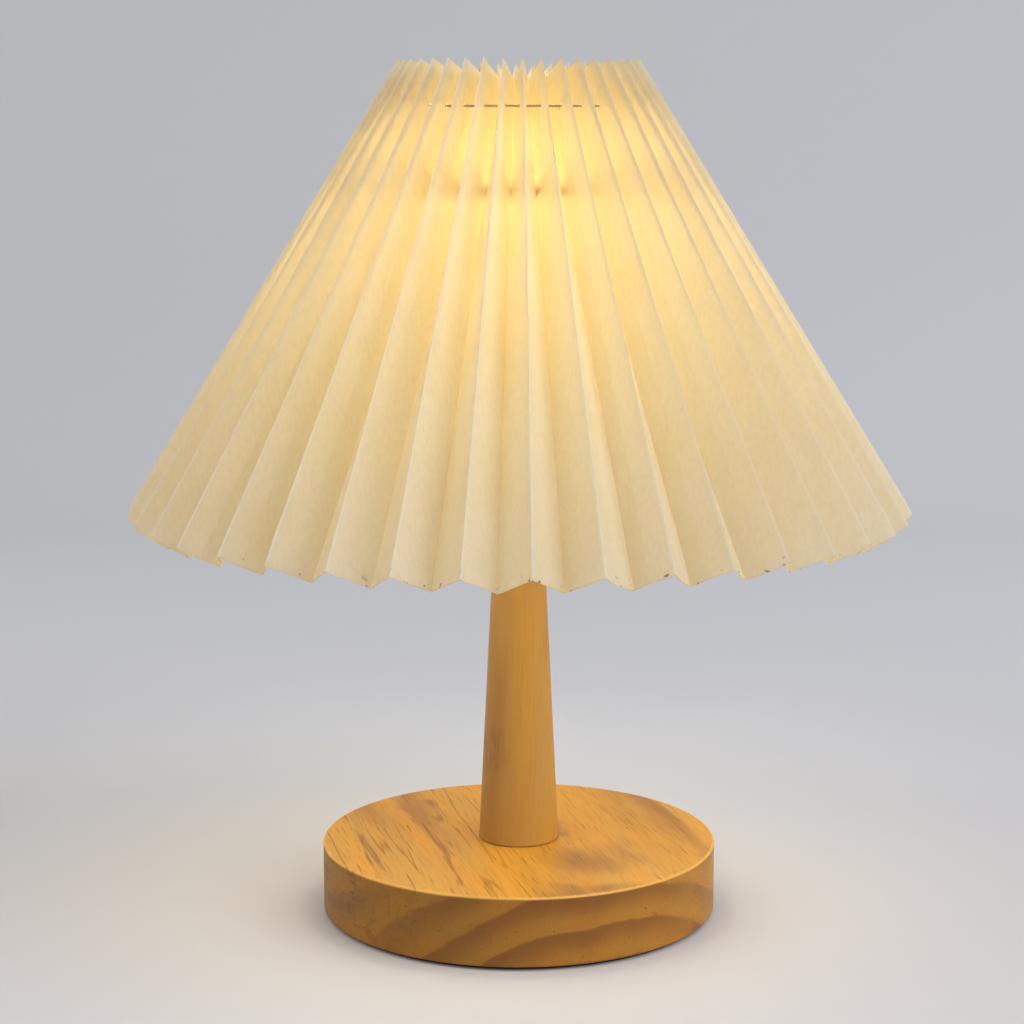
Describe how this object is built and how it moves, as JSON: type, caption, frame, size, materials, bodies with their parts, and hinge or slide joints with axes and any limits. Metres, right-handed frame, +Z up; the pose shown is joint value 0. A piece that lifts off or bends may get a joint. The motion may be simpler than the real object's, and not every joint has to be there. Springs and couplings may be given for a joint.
{
  "type": "pleated paper table lamp",
  "caption": "Table lamp with a round wooden base, a tapered wooden stem and a wide conical shade of pleated translucent paper, lit by a screw-in bulb.",
  "frame": {"origin": "on the surface it stands on, under the middle of the base", "axes": "+Z up along the stem, -Y towards the viewer, cord inlet at +Y"},
  "size_m": [0.26, 0.26, 0.2849],
  "materials": {
    "oiled_wood": "oiled",
    "pleated_paper": "matt",
    "pad_foam": "matt",
    "zinc_steel": "zinc plated",
    "white_wire": "satin paint",
    "white_plastic": "satin moulded",
    "contact_brass": "plain",
    "dark_rubber": "matt",
    "cover_board": "matt",
    "terminal_plastic": "matt",
    "live_insulation": "satin",
    "neutral_insulation": "satin",
    "bulb_diffuser": "frosted",
    "bulb_plastic": "gloss",
    "bulb_metal": "plain",
    "bulb_insulation": "gloss",
    "board_white": "satin",
    "driver_green": "gloss",
    "chip_phosphor": "satin",
    "cotton_lace": "cotton"
  },
  "bodies": {
    "root": {"foot_pad": "pad_foam", "base_disc": "oiled_wood", "base_cover": "cover_board", "cover_screws": "zinc_steel", "stem": "oiled_wood", "threaded_rod": "zinc_steel", "rod_washer": "zinc_steel", "lock_nut": "zinc_steel", "cord_grommet": "dark_rubber", "cord_clamp": "terminal_plastic", "clamp_screws": "zinc_steel", "terminal_block": "terminal_plastic", "terminal_screws": "contact_brass", "live_lead": "live_insulation", "neutral_lead": "neutral_insulation", "holder_cap": "white_plastic", "holder_shell": "white_plastic", "holder_insert": "white_plastic", "screw_shell": "contact_brass", "centre_contact": "contact_brass"},
    "shade_collar": {"shade_collar": "white_plastic"},
    "shade_carrier": {"fitter_plate": "white_wire", "carrier_ring": "white_wire", "carrier_arm_1": "white_wire", "carrier_arm_2": "white_wire", "carrier_arm_3": "white_wire"},
    "paper_shade": {"paper_shade": "pleated_paper", "shade_lace": "cotton_lace"},
    "bulb_lift": {"bulb_tip": "zinc_steel"},
    "bulb": {"bulb_insulator": "bulb_insulation", "bulb_cap": "bulb_metal", "bulb_housing": "bulb_plastic", "led_board": "board_white", "led_chips": "chip_phosphor", "led_driver": "driver_green", "bulb_globe": "bulb_diffuser"}
  },
  "joints": [
    {"name": "collar_turn", "type": "hinge", "parent": "root", "child": "shade_collar", "pos_m": [0, 0, 0.15], "axis": [0, 0, 1], "continuous": true},
    {"name": "shade_turn", "type": "hinge", "parent": "root", "child": "shade_carrier", "pos_m": [0, 0, 0.146], "axis": [0, 0, 1], "continuous": true},
    {"name": "shade_lift", "type": "slide", "parent": "shade_carrier", "child": "paper_shade", "axis": [0, 0, 1], "range_m": [0, 0.11]},
    {"name": "bulb_rise", "type": "slide", "parent": "root", "child": "bulb_lift", "axis": [0, 0, 1], "range_m": [0, 0.01815]},
    {"name": "bulb_turn", "type": "hinge", "parent": "bulb_lift", "child": "bulb", "pos_m": [0, 0, 0.15], "axis": [0, 0, 1], "range_deg": [0, 1800]}
  ],
  "couplings": [
    {"joint": "bulb_rise", "follows": "bulb_turn", "m_per_rad": 0.00057773}
  ]
}
